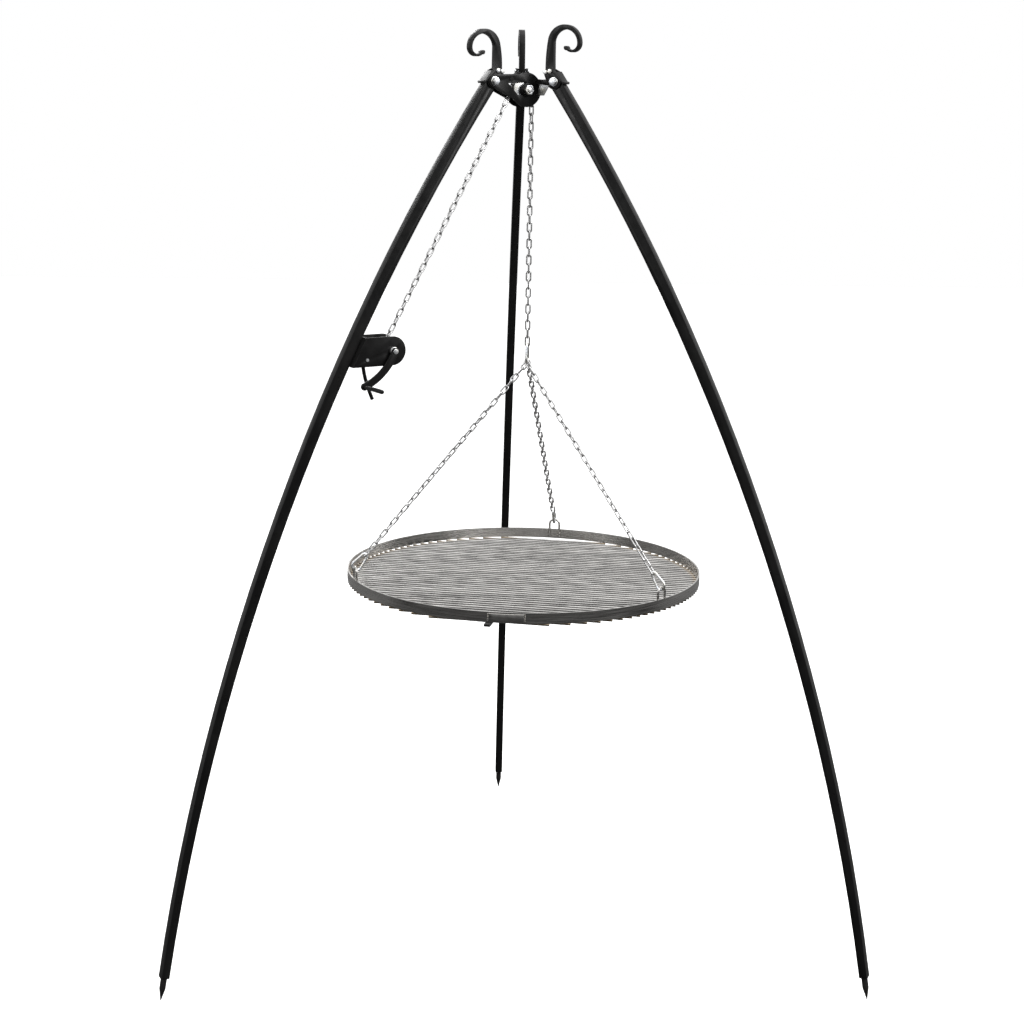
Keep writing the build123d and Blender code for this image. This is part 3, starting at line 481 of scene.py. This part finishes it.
def links_mesh(name, links):
    """One mesh of several links."""
    mesh = bpy.data.meshes.new(name)
    points, faces = [], []
    for link_points, link_faces in links:
        faces += [[i + len(points) for i in face] for face in link_faces]
        points += link_points
    mesh.from_pydata(points, [], faces)
    return mesh


links = loose_links("chain_drop")
payout = max(abs(x) for x in joints["chain_payout"]["range_m"])
pitch = (links[0][0][0].z - links[-1][0][0].z) / (len(links) - 1)
taken_up = round(payout / pitch)
wound = add_piece(
    "chain_drop_wound", links_mesh("chain_drop_wound", links[:taken_up]), looks["chain_zinc"],
    body_of["chain_drop"]
)
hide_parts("chain_drop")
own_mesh(wound)
add_piece(
    "chain_drop_hanging", links_mesh("chain_drop_hanging", links[taken_up:]), looks["chain_zinc"],
    body_of["chain_end_link"]
)

run_links = loose_links("chain_winch_run")
run = add_piece(
    "chain_winch_run_slack", links_mesh("chain_winch_run_slack", run_links), looks["chain_zinc"],
    body_of["chain_winch_run"]
)
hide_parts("chain_winch_run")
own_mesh(run)

# ================================ floor and light =============================================
floor_mesh = bpy.data.meshes.new("floor")
floor_half = 12.0
floor_mesh.from_pydata(
    [(x * floor_half, y * floor_half, 0) for x, y in ((-1, -1), (1, -1), (1, 1), (-1, 1))], [], [(0, 1, 2, 3)]
)
floor = bpy.data.objects.new("floor", floor_mesh)
bpy.context.scene.collection.objects.link(floor)
floor_look = Recipe("floor")
floor_look.colour(floor_look.ramp(floor_look.noise(2.0), [(0.3, (0.9, 0.9, 0.9)), (0.7, (0.93, 0.93, 0.93))]))
floor_look.set(Roughness=0.9, Specular_IOR_Level=0.1)
floor_mesh.materials.append(floor_look.material)
floor.visible_glossy = False
floor.visible_diffuse = False

# a studio: a white backdrop behind, a darker room in front of it and on the ground
world = bpy.data.worlds.new("studio")
world.use_nodes = True
tree = world.node_tree
background = tree.nodes["Background"]
seen = tree.nodes.new("ShaderNodeLightPath").outputs["Is Camera Ray"]
direction = tree.nodes.new("ShaderNodeTexCoord").outputs["Generated"]
split = tree.nodes.new("ShaderNodeSeparateXYZ")
tree.links.new(direction, split.inputs[0])


def world_shade(output, stops):
    """Grey levels of the room along one axis of the direction, from -1 to 1."""
    reach = tree.nodes.new("ShaderNodeMapRange")
    reach.inputs["From Min"].default_value = -1.0
    tree.links.new(output, reach.inputs["Value"])
    shade = tree.nodes.new("ShaderNodeValToRGB")
    while len(shade.color_ramp.elements) < len(stops):
        shade.color_ramp.elements.new(0.5)
    for element, (position, level) in zip(shade.color_ramp.elements, stops):
        element.position = position
        element.color = (level, level, level, 1)
    tree.links.new(reach.outputs["Result"], shade.inputs["Fac"])
    return shade.outputs["Color"]


depth_shade = world_shade(split.outputs["Y"], [(0.0, 0.3), (0.45, 0.26), (0.62, 0.9), (1.0, 1.0)])
height_shade = world_shade(split.outputs["Z"], [(0.0, 0.12), (0.44, 0.25), (0.5, 1.0), (1.0, 0.8)])
room = tree.nodes.new("ShaderNodeMix")
room.data_type = "RGBA"
room.blend_type = "MULTIPLY"
room.inputs["Factor"].default_value = 1.0
tree.links.new(depth_shade, room.inputs[6])
tree.links.new(height_shade, room.inputs[7])
choice = tree.nodes.new("ShaderNodeMix")
choice.data_type = "RGBA"
tree.links.new(seen, choice.inputs["Factor"])
tree.links.new(room.outputs[2], choice.inputs[6])
choice.inputs[7].default_value = (1, 1, 1, 1)
tree.links.new(choice.outputs[2], background.inputs["Color"])
background.inputs["Strength"].default_value = 1.0
bpy.context.scene.world = world
bpy.context.scene.view_settings.view_transform = "Standard"
bpy.context.scene.view_settings.look = "None"


def softbox(name, place, aim, size, watts):
    """A soft rectangular light that points at a place."""
    light = bpy.data.lights.new(name, "AREA")
    light.shape = "RECTANGLE"
    light.size, light.size_y = size
    light.energy = watts
    obj = bpy.data.objects.new(name, light)
    obj.location = place
    obj.rotation_mode = "QUATERNION"
    obj.rotation_quaternion = (Vector(aim) - Vector(place)).to_track_quat("-Z", "Y")
    bpy.context.scene.collection.objects.link(obj)


softbox("key", (2.6, -2.4, 3.0), (0, 0, 0.9), (1.0, 2.2), 110)
softbox("fill", (-3.2, -1.6, 2.4), (0, 0, 0.9), (0.6, 2.4), 45)
softbox("back", (-1.4, 3.2, 2.8), (0, 0, 0.9), (1.4, 1.4), 60)

dome = bpy.data.lights.new("dome", "SUN")
dome.energy = 3.2
dome.angle = math.radians(100)
overhead = bpy.data.objects.new("dome", dome)
overhead.rotation_mode = "QUATERNION"
overhead.rotation_quaternion = Vector((-0.25, 0.3, -1)).to_track_quat("-Z", "Y")
bpy.context.scene.collection.objects.link(overhead)
